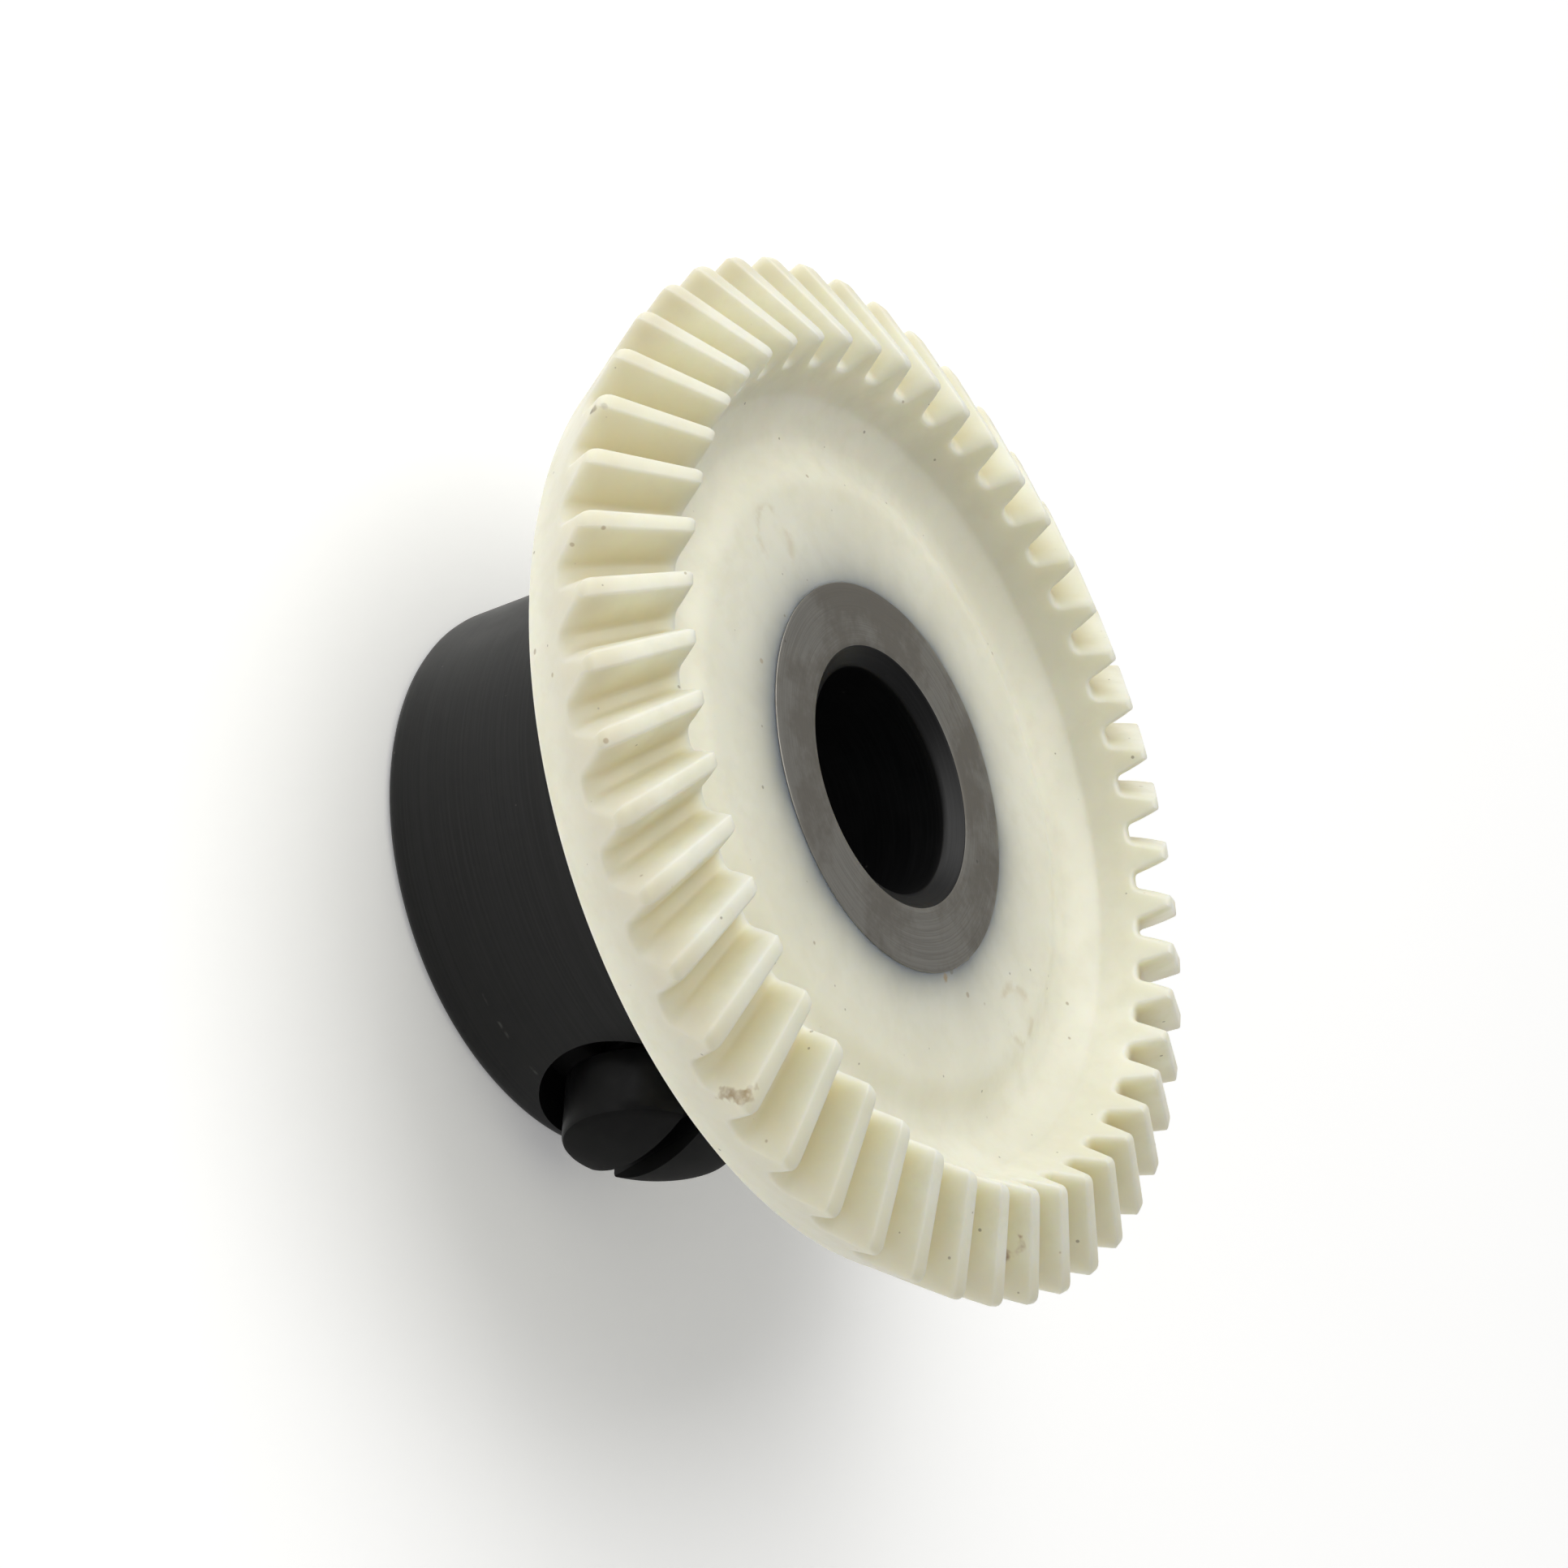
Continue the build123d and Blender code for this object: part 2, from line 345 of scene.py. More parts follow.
def build_disc():
    """Closed mesh of the toothed disc, one ring of points after another."""
    teeth = Teeth()
    rings = []
    gap_shade_depth = []

    def circle(radius, z, azimuth):
        rings.append((np.full(teeth.columns, radius), azimuth, np.full(teeth.columns, z)))
        gap_shade_depth.append(np.zeros(teeth.columns))

    inner_edge = teeth.place(*teeth.end_ring(True, 0))
    outer_edge = teeth.place(*teeth.end_ring(False, 0))
    depth = (ADDENDUM - teeth.h) / (ADDENDUM + DEDENDUM)

    for radius, z in face_profile():
        circle(radius, z, inner_edge[1])
    circle(COLLAR_RADIUS - 0.04, COLLAR_Z - 0.02, inner_edge[1])
    for share in (0.04, 0.12, 0.35, 0.6, 0.8, 0.93):
        radius = COLLAR_RADIUS + (inner_edge[0] - COLLAR_RADIUS) * share
        rings.append((radius, inner_edge[1], COLLAR_Z + (inner_edge[2] - COLLAR_Z) * share))
        gap_shade_depth.append(np.zeros(teeth.columns))
    for i in range(END_STEPS + 1):
        rings.append(teeth.place(*teeth.end_ring(True, i / END_STEPS)))
        gap_shade_depth.append(depth * i / END_STEPS)
    start = teeth.end_ring(True, 1)
    end = teeth.end_ring(False, 1)
    for i in range(1, TOOTH_STEPS):
        radius = start[2] + (end[2] - start[2]) * i / TOOTH_STEPS
        rings.append(teeth.place(teeth.x, teeth.h, radius))
        gap_shade_depth.append(depth)
    for i in range(END_STEPS, -1, -1):
        rings.append(teeth.place(*teeth.end_ring(False, i / END_STEPS)))
        gap_shade_depth.append(depth * i / END_STEPS)
    rim_start = (RIM_BACK_RADIUS + RIM_ROUND * 0.5, DISC_BACK_Z + RIM_ROUND * 0.95)
    for share in (0.06, 0.2, 0.45, 0.75, 1.0):
        radius = outer_edge[0] + (rim_start[0] - outer_edge[0]) * share
        rings.append((radius, outer_edge[1], outer_edge[2] + (rim_start[1] - outer_edge[2]) * share))
        gap_shade_depth.append(np.zeros(teeth.columns))
    for radius, z in arc((RIM_BACK_RADIUS - 0.10, DISC_BACK_Z + RIM_ROUND), RIM_ROUND, -10, -90, 3):
        circle(radius, z, outer_edge[1])
    for radius in BACK_RADII:
        circle(radius, DISC_BACK_Z, outer_edge[1])

    radius = np.array([ring[0] for ring in rings]).ravel()
    azimuth = np.array([ring[1] for ring in rings]).ravel()
    z = np.array([ring[2] for ring in rings]).ravel()
    points = np.stack([radius * np.cos(azimuth), radius * np.sin(azimuth), z], axis=1)
    for angle, distance in GATE_MARKS:
        centre = np.array([distance * cos(radians(angle)), distance * sin(radians(angle))])
        away = np.hypot(*(points[:, :2] - centre).T)
        dimple = GATE_DEPTH * (1 - smooth_step((away - GATE_RADIUS + 0.25) / 0.5))
        points[:, 2] -= np.where(points[:, 2] > FACE_Z - 1.0, dimple, 0)
    item = new_object("toothed_disc", points, grid_faces(len(rings), teeth.columns, True))
    # Depth into the tooth spaces at each point, read by the plastic's painted shade.
    attribute = item.data.attributes.new("gap_shade_depth", "FLOAT", "POINT")
    attribute.data.foreach_set("value", np.clip(np.array(gap_shade_depth).ravel(), 0, 1).astype(np.float32))
    return item


# ------------------------------------------------------------------ hub
def lathe(name, profile, columns):
    """Closed ring of a profile of radius and z turned about Z."""
    azimuth = np.linspace(0, TURN, columns, endpoint=False)
    points = [(r * cos(a), r * sin(a), z) for r, z in profile for a in azimuth]
    return new_object(name, points, grid_faces(len(profile), columns, True))


def across_screw(angle):
    """Matrix that lays a mesh built along +Z on a set screw's axis, in metres."""
    azimuth = radians(angle)
    outward = Vector((cos(azimuth), sin(azimuth), 0))
    around = Vector((-sin(azimuth), cos(azimuth), 0))
    rotation = Matrix((around, outward.cross(around), outward)).transposed()
    return Matrix.Translation(Vector((0, 0, SCREW_Z)) * MM) @ rotation.to_4x4()


def plug(radius, start, end, angle):
    """Closed cylinder along a set screw's axis, for cutting its hole."""
    columns = 96
    azimuth = np.linspace(0, TURN, columns, endpoint=False)
    points = [(radius * cos(a), radius * sin(a), z) for z in (start, end) for a in azimuth]
    faces = grid_faces(2, columns, False)
    faces.append(tuple(range(columns))[::-1])
    faces.append(tuple(range(columns, 2 * columns)))
    item = new_object("cutter", points, faces)
    item.data.transform(across_screw(angle))
    return item


def build_hub():
    """Turned hub with its counterbored holes."""
    chamfer_width, chamfer_length = BORE_CHAMFER
    outer = BORE_RADIUS + chamfer_width
    profile = spaced((outer, 0), (HUB_RADIUS - HUB_EDGE_ROUND, 0), 0.5)
    profile += arc((HUB_RADIUS - HUB_EDGE_ROUND, HUB_EDGE_ROUND), HUB_EDGE_ROUND, -90, 0, 5)[:-1]
    profile += spaced((HUB_RADIUS, HUB_EDGE_ROUND), (HUB_RADIUS, DISC_BACK_Z - 0.15), 0.4)
    profile += [(HUB_RADIUS, DISC_BACK_Z - 0.15), (HUB_RADIUS - 0.05, DISC_BACK_Z - 0.04)]
    profile += spaced((HUB_RADIUS - 0.2, DISC_BACK_Z + 0.02), (SPIGOT_RADIUS, DISC_BACK_Z + 0.02), 1.0)
    edge_z = HUB_LENGTH - SPIGOT_EDGE_ROUND
    profile += spaced((SPIGOT_RADIUS, DISC_BACK_Z + 0.02), (SPIGOT_RADIUS, edge_z), 0.8)
    profile += arc((SPIGOT_RADIUS - SPIGOT_EDGE_ROUND, edge_z), SPIGOT_EDGE_ROUND, 0, 90, 3)
    profile += spaced((SPIGOT_RADIUS - 0.3, HUB_LENGTH), (outer + 0.05, HUB_LENGTH), 0.25)
    profile += [(outer + 0.02, HUB_LENGTH - 0.002), (outer - 0.04, HUB_LENGTH - 0.035)]
    chamfer_end = (BORE_RADIUS + 0.03, HUB_LENGTH - chamfer_length + 0.03)
    profile += spaced((outer - 0.06, HUB_LENGTH - 0.055), chamfer_end, 0.15)
    profile += [chamfer_end, (BORE_RADIUS, HUB_LENGTH - chamfer_length - 0.04)]
    profile += spaced(
        (BORE_RADIUS, HUB_LENGTH - chamfer_length - 0.3), (BORE_RADIUS, chamfer_length), 0.5
    )
    profile += [(BORE_RADIUS, chamfer_length), (BORE_RADIUS + 0.03, chamfer_length - 0.04)]
    profile += [(outer - 0.04, 0.035)]
    item = lathe("turned_hub", profile[::-1], 288)
    for angle in SCREW_ANGLES:
        cut(item, plug(COUNTERBORE_RADIUS, COUNTERBORE_FLOOR, HUB_RADIUS + 1, angle))
        cut(item, plug(TAPPED_RADIUS, TAPPED_START, HUB_RADIUS, angle))
    soften_edges(item, HUB_SOFTENING, SHARP_ANGLE)
    return item


# ------------------------------------------------------------------ set screws
def thread_radius(distance, azimuth, start, end):
    """Radius of a right-hand thread with flat crests, fading out at both ends."""
    phase = (distance / THREAD_PITCH - azimuth / TURN) % 1.0
    ridge = np.clip(1.6 - 3.2 * abs(phase - 0.5) * 1.25, 0, 1)
    fade = min(1, (distance - start) / THREAD_PITCH + 0.3, (end - distance) / THREAD_PITCH)
    return THREAD_ROOT_RADIUS + (THREAD_RADIUS - THREAD_ROOT_RADIUS) * ridge * max(0, fade)


def build_screw(name, angle):
    """Set screw with a cone point, a cut thread, a neck and a domed slotted head."""
    shank = build_shank(name)
    head = build_head(name + "_head")
    for item in (shank, head):
        item.data.transform(across_screw(angle))
    whole = bmesh.new()
    whole.from_mesh(shank.data)
    whole.from_mesh(head.data)
    whole.to_mesh(shank.data)
    whole.free()
    shank.data.shade_smooth()
    bpy.data.objects.remove(head)
    return shank


def build_shank(name):
    """Point, thread and neck of a set screw, standing on its point."""
    columns = 72
    azimuth = np.linspace(0, TURN, columns, endpoint=False)
    thread_start = SCREW_POINT + 0.75
    thread_end = HEAD_UNDERSIDE - 0.45
    rings = [(SCREW_POINT, 0.5), (SCREW_POINT, 0.97), (SCREW_POINT + 0.03, 1.03)]
    rings += [(SCREW_POINT + 0.10, 1.06), (thread_start - 0.08, 1.35)]
    points = [(r * cos(a), r * sin(a), d) for d, r in rings for a in azimuth]
    ring_count = len(rings)
    for distance in np.arange(thread_start, thread_end, THREAD_PITCH / 10):
        for a in azimuth:
            r = thread_radius(distance, a, thread_start, thread_end)
            points.append((r * cos(a), r * sin(a), distance))
        ring_count += 1
    neck = ((thread_end, NECK_RADIUS), (HEAD_UNDERSIDE - 0.05, NECK_RADIUS), (HEAD_UNDERSIDE + 0.3, 1.5))
    for distance, r in neck:
        points += [(r * cos(a), r * sin(a), distance) for a in azimuth]
        ring_count += 1
    faces = grid_faces(ring_count, columns, False)
    faces.append(tuple(range(columns))[::-1])
    faces.append(tuple(range((ring_count - 1) * columns, ring_count * columns)))
    return new_object(name, points, faces)


def build_head(name):
    """Domed head of a set screw with its slot."""
    head_edge = SCREW_TOP - DOME_HEIGHT
    dome_radius = (HEAD_RADIUS**2 + DOME_HEIGHT**2) / (2 * DOME_HEIGHT)
    profile = [(0.6, HEAD_UNDERSIDE)]
    corner = (HEAD_RADIUS - HEAD_EDGE_ROUND, HEAD_UNDERSIDE + HEAD_EDGE_ROUND)
    wall_end = (HEAD_RADIUS, head_edge - HEAD_EDGE_ROUND)
    profile += spaced((1.2, HEAD_UNDERSIDE), (corner[0], HEAD_UNDERSIDE), 0.5)
    profile += arc(corner, HEAD_EDGE_ROUND, -90, 0, 3)[:-1]
    profile += spaced((HEAD_RADIUS, corner[1]), wall_end, 0.35)
    profile += [wall_end, (HEAD_RADIUS - 0.03, head_edge - 0.03)]
    for r in np.arange(HEAD_RADIUS - 0.10, 0.2, -0.2):
        profile.append((r, SCREW_TOP - dome_radius + (dome_radius**2 - r**2) ** 0.5))
    columns = 128
    azimuth = np.linspace(0, TURN, columns, endpoint=False)
    points = [(r * cos(a), r * sin(a), d) for r, d in profile for a in azimuth]
    faces = grid_faces(len(profile), columns, False)
    faces.append(tuple(range(columns))[::-1])
    faces.append(tuple(range((len(profile) - 1) * columns, len(profile) * columns)))
    head = new_object(name, points, faces)
    reach, half_slot, floor = HEAD_RADIUS + 1, SLOT_WIDTH / 2, SCREW_TOP - SLOT_DEPTH
    corners = [
        (x, y, z)
        for z in (floor, SCREW_TOP + 1)
        for x, y in ((-reach, -half_slot), (reach, -half_slot), (reach, half_slot), (-reach, half_slot))
    ]
    sides = [(3, 2, 1, 0), (4, 5, 6, 7), (0, 1, 5, 4), (1, 2, 6, 5), (2, 3, 7, 6), (3, 0, 4, 7)]
    slot = new_object("cutter", corners, sides)
    slot.data.transform(Matrix.Rotation(radians(SLOT_ANGLE), 4, "Z"))
    cut(head, slot)
    soften_edges(head, HEAD_SOFTENING, SHARP_ANGLE)
    return head


# ------------------------------------------------------------------ material helpers
class Nodes:
    """Short calls for building a node material."""

    def __init__(self, name):
        self.material = bpy.data.materials.new(name)
        self.material.use_nodes = True
        self.tree = self.material.node_tree
        self.shader = self.tree.nodes["Principled BSDF"]
        self.place = self.tree.nodes.new("ShaderNodeTexCoord").outputs["Object"]

    def link(self, source, target):
        self.tree.links.new(source, target)

    def put(self, target, value):
        """Set an input from a number, a colour or another node's output."""
        if isinstance(value, bpy.types.NodeSocket):
            self.link(value, target)
        else:
            target.default_value = value

    def math(self, operation, a, b=0.0, clamp=False):
        node = self.tree.nodes.new("ShaderNodeMath")
        node.operation = operation
        node.use_clamp = clamp
        for socket, value in zip(node.inputs, (a, b)):
            self.put(socket, value)
        return node.outputs[0]

    def ramp(self, value, low, high, from_value=0.0, to_value=1.0):
        """Smooth change from one value to another while the input goes from low to high."""
        node = self.tree.nodes.new("ShaderNodeMapRange")
        node.interpolation_type = "SMOOTHSTEP"
        for socket, item in zip(node.inputs, (value, low, high, from_value, to_value)):
            self.put(socket, item)
        return node.outputs[0]

    def mix(self, share, a, b):
        """Colour that goes from a to b as the share goes from 0 to 1."""
        node = self.tree.nodes.new("ShaderNodeMix")
        node.data_type = "RGBA"
        self.put(node.inputs["Factor"], share)
        for socket, value in zip((node.inputs[6], node.inputs[7]), (a, b)):
            self.put(socket, (*value, 1) if isinstance(value, tuple) else value)
        return node.outputs[2]

    def noise(self, scale, detail, rough, vector=None):
        """Noise with this many features for each metre."""
        node = self.tree.nodes.new("ShaderNodeTexNoise")
        node.inputs["Scale"].default_value = scale
        node.inputs["Detail"].default_value = detail
        node.inputs["Roughness"].default_value = rough
        self.link(vector if vector is not None else self.place, node.inputs["Vector"])
        return node.outputs["Fac"]

    def cells(self, scale):
        """Distance to the nearest of a field of random points, in cell sizes, and its colour."""
        node = self.tree.nodes.new("ShaderNodeTexVoronoi")
        node.inputs["Scale"].default_value = scale
        self.link(self.place, node.inputs["Vector"])
        return node.outputs["Distance"], node.outputs["Color"]

    def split(self, vector=None):
        """The three parts of a vector, or of the place on the piece."""
        node = self.tree.nodes.new("ShaderNodeSeparateXYZ")
        self.link(vector if vector is not None else self.place, node.inputs[0])
        return node.outputs

    def join(self, x, y, z):
        node = self.tree.nodes.new("ShaderNodeCombineXYZ")
        for socket, value in zip(node.inputs, (x, y, z)):
            self.put(socket, value)
        return node.outputs[0]

    def radius(self):
        """Distance from the bore's axis, in metres."""
        x, y, _ = self.split()
        return self.math("SQRT", self.math("ADD", self.math("MULTIPLY", x, x), self.math("MULTIPLY", y, y)))

    def distance(self, angle, radius):
        """Distance in plan, in metres, from the point at this azimuth and radius in millimetres."""
        x, y, _ = self.split()
        node = self.tree.nodes.new("ShaderNodeVectorMath")
        node.operation = "DISTANCE"
        self.link(self.join(x, y, 0.0), node.inputs[0])
        azimuth = radians(angle)
        node.inputs[1].default_value = Vector((cos(azimuth), sin(azimuth), 0)) * radius * MM
        return node.outputs["Value"]

    def bump(self, height, strength, distance, normal=None):
        """Normal that raises the surface by up to this distance, in millimetres."""
        node = self.tree.nodes.new("ShaderNodeBump")
        node.inputs["Strength"].default_value = strength
        node.inputs["Distance"].default_value = distance * MM
        self.link(height, node.inputs["Height"])
        if normal is not None:
            self.link(normal, node.inputs["Normal"])
        return node.outputs["Normal"]


def specks(nodes, scale, size, rarity):
    """Small random spots: 1 inside a spot, in the share of the cells that rarity leaves."""
    distance, colour = nodes.cells(scale)
    pick, spread, _ = nodes.split(colour)
    limit = nodes.math("MULTIPLY", spread, size)
    spot = nodes.ramp(nodes.math("SUBTRACT", distance, limit), -0.02, 0.02, 1.0, 0.0)
    return nodes.math("MULTIPLY", spot, nodes.math("GREATER_THAN", pick, rarity))


# ------------------------------------------------------------------ materials
def hub_halo(nodes, broad):
    """Grey darkening of the plastic round the steel, fading outwards with a ragged edge."""
    ragged = nodes.math("MULTIPLY", nodes.math("SUBTRACT", broad, 0.5), 1.2 * MM)
    edge = nodes.math("ADD", nodes.radius(), ragged)
    away = nodes.math("SUBTRACT", SPIGOT_RADIUS * MM, edge)
    return nodes.math("EXPONENT", nodes.math("MULTIPLY", away, 1 / (HALO_REACH * MM)), clamp=True)


def marked(nodes, colour, fine):
    """Add the gate rings and the stains to the plastic's colour."""
    patchy = nodes.noise(2100, 2, 0.5)
    front = nodes.math("GREATER_THAN", nodes.split()[2], (FACE_Z - MARKED_DEPTH) * MM)
    for angle, distance in GATE_MARKS:
        off_ring = nodes.math("SUBTRACT", nodes.distance(angle, distance), GATE_RADIUS * MM)
        ring = nodes.ramp(nodes.math("ABSOLUTE", off_ring), 0.0, 0.3 * MM, 0.4, 0.0)
        share = nodes.math("MULTIPLY", ring, nodes.ramp(fine, 0.42, 0.60))
        colour = nodes.mix(share, colour, GATE_COLOUR)
    for angle, distance, size, tone in DIRT:
        ragged = nodes.math("MULTIPLY", nodes.math("SUBTRACT", patchy, 0.5), 2.5 * size * MM)
        spread = nodes.math("ADD", nodes.distance(angle, distance), ragged)
        share = nodes.ramp(spread, 0.3 * size * MM, 0.75 * size * MM, 0.9, 0.0)
        share = nodes.math("MULTIPLY", share, nodes.ramp(fine, 0.35, 0.60, 0.35, 1.0))
        colour = nodes.mix(nodes.math("MULTIPLY", share, front), colour, tone)
    return colour


def plastic_material():
    """Ivory nylon: translucent, specked and stained, with painted shade that makes it darker and yellower
    deep in the tooth spaces and greyer on the rim band.
    """
    nodes = Nodes("ivory_plastic")
    broad = nodes.noise(140, 4, 0.55)
    fine = nodes.noise(900, 5, 0.6)
    colour = nodes.mix(nodes.ramp(broad, 0.35, 0.65), (0.81, 0.795, 0.65), (0.88, 0.87, 0.735))
    colour = nodes.mix(nodes.ramp(fine, 0.42, 0.70, 0.0, 0.35), colour, (0.76, 0.74, 0.58))
    # Painted shade: darker, yellower colour deeper in the tooth spaces, driven by the per-point depth.
    attribute = nodes.tree.nodes.new("ShaderNodeAttribute")
    attribute.attribute_name = "gap_shade_depth"
    depth = attribute.outputs["Fac"]
    colour = nodes.mix(nodes.ramp(depth, 0.20, 1.0, 0.0, 0.65), colour, (0.74, 0.68, 0.42))
    # Painted shade: the outer rim band is greyed, more in some patches than others.
    rim = nodes.ramp(nodes.radius(), RIM_BACK_RADIUS * MM, PITCH_RADIUS * MM)
    painted_rim_shade = nodes.math("MULTIPLY", rim, nodes.ramp(broad, 0.35, 0.60, 0.35, 0.75))
    colour = nodes.mix(painted_rim_shade, colour, (0.66, 0.625, 0.50))
    halo = nodes.math("MULTIPLY", hub_halo(nodes, broad), 0.95)
    colour = nodes.mix(halo, colour, (0.18, 0.195, 0.205))
    brown = nodes.math("MULTIPLY", specks(nodes, 800, 0.08, 0.45), 0.6)
    dark = nodes.math("MULTIPLY", specks(nodes, 1400, 0.09, 0.55), 0.6)
    colour = nodes.mix(brown, colour, (0.36, 0.28, 0.17))
    colour = nodes.mix(dark, colour, (0.20, 0.17, 0.12))
    nodes.link(marked(nodes, colour, fine), nodes.shader.inputs["Base Color"])
    nodes.link(nodes.ramp(fine, 0.3, 0.7, 0.34, 0.52), nodes.shader.inputs["Roughness"])
    nodes.shader.inputs["Subsurface Weight"].default_value = 0.9
    nodes.shader.inputs["Subsurface Radius"].default_value = (1.0, 0.85, 0.55)
    nodes.shader.inputs["Subsurface Scale"].default_value = 1.3 * MM
    nodes.shader.inputs["IOR"].default_value = 1.5
    waves = nodes.bump(nodes.noise(260, 3, 0.5), 0.35, 0.05)
    grain = nodes.bump(nodes.noise(3800, 3, 0.6), 0.25, 0.008, waves)
    nodes.link(grain, nodes.shader.inputs["Normal"])
    return nodes.material


def turned_vector(nodes, axis_scale, round_scale):
    """Coordinates that stretch a noise into fine rings round the bore's axis."""
    x, y, z = nodes.split()
    angle = nodes.math("MULTIPLY", nodes.math("ARCTAN2", y, x), round_scale)
    across = nodes.math("MULTIPLY", nodes.radius(), axis_scale)
    return nodes.join(angle, across, nodes.math("MULTIPLY", z, axis_scale))


def black_steel(nodes, pattern):
    """Colour and roughness of black-oxide steel: a fine pattern, lighter clouds and a little dust."""
    cloud = nodes.noise(180, 4, 0.6)
    colour = nodes.mix(nodes.ramp(pattern, 0.35, 0.7), (0.0040, 0.0040, 0.0043), (0.0100, 0.0100, 0.0105))
    colour = nodes.mix(nodes.ramp(cloud, 0.45, 0.75, 0.0, 0.5), colour, (0.011, 0.011, 0.011))
    dust = nodes.math("MULTIPLY", specks(nodes, 1500, 0.07, 0.80), 0.25)
    colour = nodes.mix(dust, colour, (0.20, 0.19, 0.17))
    return colour, nodes.ramp(cloud, 0.3, 0.7, 0.36, 0.48)


def finish_black_steel(nodes, colour, rough, pattern):
    """Connect a black steel's colour, roughness and grain."""
    nodes.link(colour, nodes.shader.inputs["Base Color"])
    nodes.link(rough, nodes.shader.inputs["Roughness"])
    lines = nodes.bump(pattern, 0.40, 0.006)
    grain = nodes.bump(nodes.noise(5200, 3, 0.6), 0.25, 0.004, lines)
    nodes.link(grain, nodes.shader.inputs["Normal"])
    return nodes.material


def hub_scratch(nodes):
    """Broken scratch that runs part of the way round the hub."""
    x, y, z = nodes.split()
    off = nodes.math("ABSOLUTE", nodes.math("SUBTRACT", z, SCRATCH_Z * MM))
    across = nodes.ramp(off, 0.02 * MM, 0.07 * MM, 1.0, 0.0)
    begin, end = SCRATCH_ANGLES
    half = (end - begin) / 2
    turned = nodes.math("SUBTRACT", nodes.math("ARCTAN2", y, x), radians((begin + end) / 2))
    along = nodes.ramp(nodes.math("ABSOLUTE", turned), radians(half - 1), radians(half), 1.0, 0.0)
    broken = nodes.ramp(nodes.noise(1300, 2, 0.5), 0.46, 0.58, 0.0, 0.5)
    return nodes.math("MULTIPLY", nodes.math("MULTIPLY", across, along), broken)


def hub_steel_material():
    """Black-oxide steel of the hub, with turning marks and a scratch."""
    nodes = Nodes("black_steel")
    rings = nodes.noise(520, 5, 0.65, turned_vector(nodes, 24.0, 0.002))
    colour, rough = black_steel(nodes, rings)
    colour = nodes.mix(hub_scratch(nodes), colour, (0.10, 0.10, 0.095))
    nodes.shader.inputs["Specular IOR Level"].default_value = 0.25
    return finish_black_steel(nodes, colour, rough, rings)


def screw_steel_material():
    """Black-oxide steel of the screws, duller on the domes than on the sides, with painted shade darkening
    the domes.
    """
    nodes = Nodes("black_screw_steel")
    grain = nodes.noise(520, 5, 0.65)
    colour, rough = black_steel(nodes, grain)
    x, y, _ = nodes.split()
    dome = nodes.math("GREATER_THAN", nodes.math("MAXIMUM", x, y), (SCREW_TOP - DOME_HEIGHT) * MM)
    # Painted shade: the domes' colour is darkened towards black.
    colour = nodes.mix(nodes.math("MULTIPLY", dome, 0.6), colour, (0.002, 0.002, 0.002))
    rough = nodes.math("ADD", nodes.math("SUBTRACT", rough, 0.1), nodes.math("MULTIPLY", dome, 0.35))
    nodes.shader.inputs["Specular IOR Level"].default_value = 0.14
    return finish_black_steel(nodes, colour, rough, grain)


def bright_steel_material():
    """Bare turned steel of the hub's end face, with rings from the tool and a dull film."""
    nodes = Nodes("turned_steel")
    rings = nodes.noise(700, 6, 0.7, turned_vector(nodes, 26.0, 0.002))
    cloud = nodes.noise(260, 5, 0.65)
    colour = nodes.mix(nodes.ramp(rings, 0.30, 0.72), (0.27, 0.258, 0.232), (0.38, 0.367, 0.335))
    colour = nodes.mix(nodes.ramp(cloud, 0.42, 0.60, 0.0, 0.8), colour, (0.20, 0.185, 0.16))
    spots = nodes.math("MULTIPLY", specks(nodes, 1100, 0.08, 0.70), 0.5)
    colour = nodes.mix(spots, colour, (0.06, 0.05, 0.045))
    nodes.link(colour, nodes.shader.inputs["Base Color"])
    nodes.shader.inputs["Metallic"].default_value = 0.85
    nodes.link(nodes.ramp(cloud, 0.3, 0.7, 0.34, 0.48), nodes.shader.inputs["Roughness"])
    nodes.link(nodes.bump(rings, 0.4, 0.006), nodes.shader.inputs["Normal"])
    return nodes.material


def floor_material():
    """Matt pale backdrop."""
    nodes = Nodes("pale_floor")
    shade = nodes.noise(9, 2, 0.5)
    colour = nodes.mix(nodes.ramp(shade, 0.3, 0.7), (0.93, 0.93, 0.925), (0.95, 0.95, 0.945))
    nodes.link(colour, nodes.shader.inputs["Base Color"])
    nodes.shader.inputs["Roughness"].default_value = 0.9
    nodes.shader.inputs["Specular IOR Level"].default_value = 0.1
    nodes.shader.inputs["Emission Color"].default_value = (1, 1, 1, 1)
    nodes.shader.inputs["Emission Strength"].default_value = 0.24
    return nodes.material


# ------------------------------------------------------------------ the object
disc = build_disc()
disc.data.materials.append(plastic_material())
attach(disc, "gear")
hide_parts("bevel_gear")

hub = build_hub()
hub.data.materials.append(hub_steel_material())
hub.data.materials.append(bright_steel_material())
for face in hub.data.polygons:
    outside = hypot(face.center.x, face.center.y) > (SPIGOT_RADIUS - BRIGHT_DEPTH) * MM
    if face.center.z > (HUB_LENGTH - BRIGHT_DEPTH) * MM and (outside or face.normal.z > 0.9):
        face.material_index = 1
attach(hub, "gear")
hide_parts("hub")

screw_steel = screw_steel_material()
for number, angle in enumerate(SCREW_ANGLES, start=1):
    screw = build_screw(f"slotted_screw_{number}", angle)
    screw.data.materials.append(screw_steel)
    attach(screw, f"screw_{number}")
    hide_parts(f"set_screw_{number}")

# ------------------------------------------------------------------ floor, light and camera
CAMERA_AIM = Vector((-0.46, -0.86, 10.0)) * MM
CAMERA_AZIMUTH = -53.8
CAMERA_ELEVATION = 30.5
CAMERA_ROLL = 71.92
CAMERA_DISTANCE = 113.38 * MM
CAMERA_LENS = 75.86
FLOOR_HALF_WIDTH = 2.5

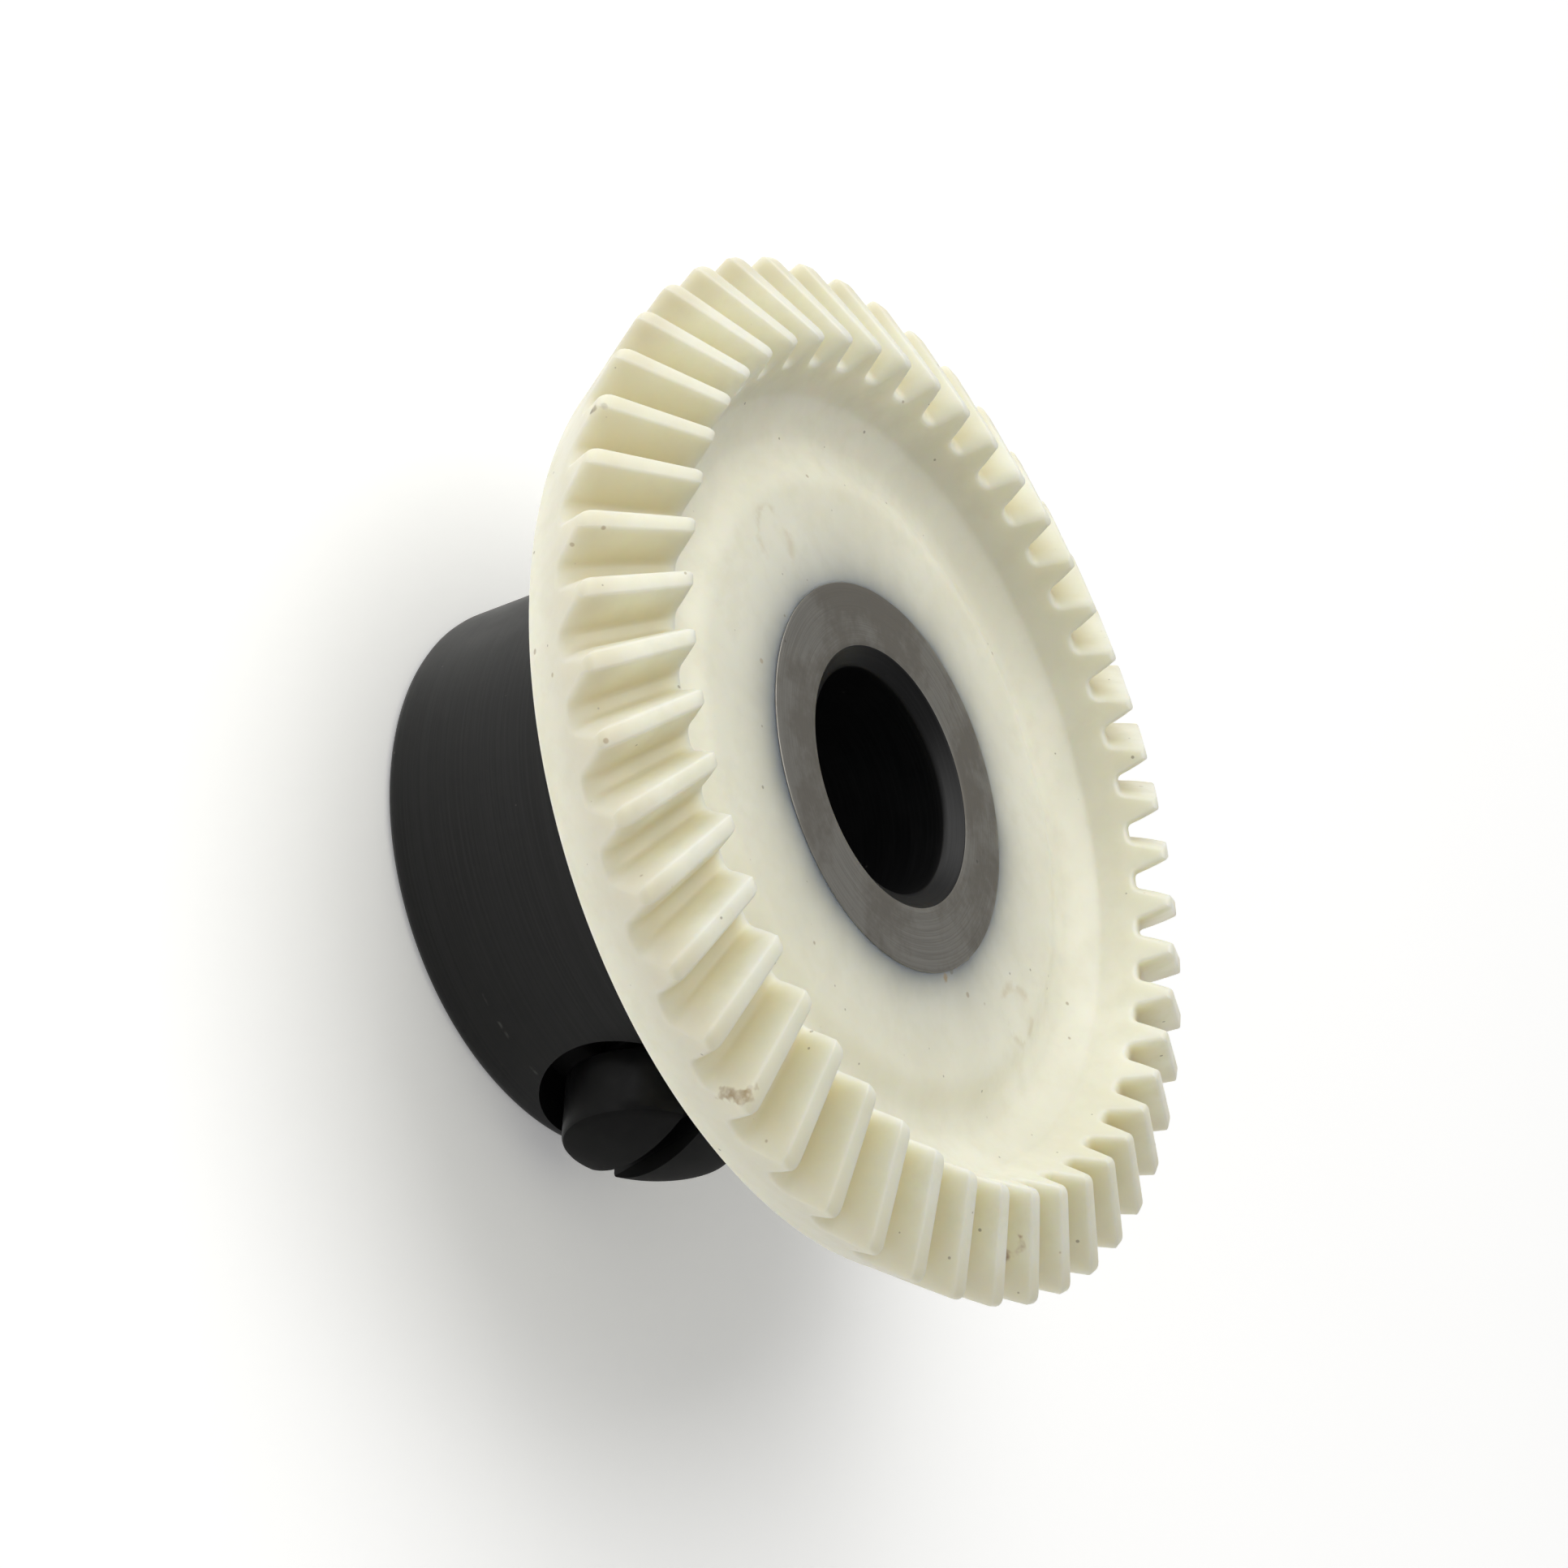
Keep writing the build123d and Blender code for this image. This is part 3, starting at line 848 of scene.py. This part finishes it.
# Azimuth, elevation, distance and width in metres, power in watts, colour.
LIGHTS = {
    "key": (-151, 16, 0.5, 0.45, 0.84, (1.0, 0.99, 0.97)),
    "glint": (-118, 10, 0.5, 0.12, 0.10, (1.0, 1.0, 1.0)),
    "top": (-150, 65, 0.5, 0.45, 1.60, (1.0, 0.995, 0.98)),
    "front": (-60, 50, 0.6, 0.6, 0.20, (0.98, 0.99, 1.0)),
}


def towards(azimuth, elevation):
    """Unit vector with this azimuth from +X and this elevation, in degrees."""
    azimuth, elevation = radians(azimuth), radians(elevation)
    return Vector((cos(azimuth) * cos(elevation), sin(azimuth) * cos(elevation), sin(elevation)))


def soft_light(name, azimuth, elevation, distance, size, power, colour):
    """Square area light that looks at the object."""
    data = bpy.data.lights.new(name, "AREA")
    data.size = size
    data.energy = power
    data.color = colour
    lamp = bpy.data.objects.new(name, data)
    direction = towards(azimuth, elevation)
    lamp.location = CAMERA_AIM + direction * distance
    lamp.rotation_euler = direction.to_track_quat("Z", "Y").to_euler()
    bpy.context.scene.collection.objects.link(lamp)


def build_floor():
    """Large flat floor under the hub's back face."""
    half = FLOOR_HALF_WIDTH
    corners = [(-half, -half, 0), (half, -half, 0), (half, half, 0), (-half, half, 0)]
    mesh = bpy.data.meshes.new("floor")
    mesh.from_pydata(corners, [], [(0, 1, 2, 3)])
    floor = bpy.data.objects.new("floor", mesh)
    floor.data.materials.append(floor_material())
    bpy.context.scene.collection.objects.link(floor)


def build_world():
    """Even pale light from all round."""
    world = bpy.data.worlds.new("studio")
    world.use_nodes = True
    background = world.node_tree.nodes["Background"]
    background.inputs["Color"].default_value = (1.0, 1.0, 1.0, 1)
    background.inputs["Strength"].default_value = 0.28
    bpy.context.scene.world = world
    bpy.context.scene.view_settings.view_transform = "Standard"


def build_camera():
    """Camera at the picture's angle, turned about its own axis."""
    data = bpy.data.cameras.new("camera")
    data.lens = CAMERA_LENS
    data.clip_start = 0.01
    data.clip_end = 20
    camera = bpy.data.objects.new("camera", data)
    direction = towards(CAMERA_AZIMUTH, CAMERA_ELEVATION)
    upright = direction.to_track_quat("Z", "Y").to_matrix().to_4x4()
    rolled = upright @ Matrix.Rotation(radians(CAMERA_ROLL), 4, "Z")
    camera.matrix_world = Matrix.Translation(CAMERA_AIM + direction * CAMERA_DISTANCE) @ rolled
    bpy.context.scene.collection.objects.link(camera)
    bpy.context.scene.camera = camera


build_floor()
build_camera()
for name, values in LIGHTS.items():
    soft_light(name, *values)
build_world()
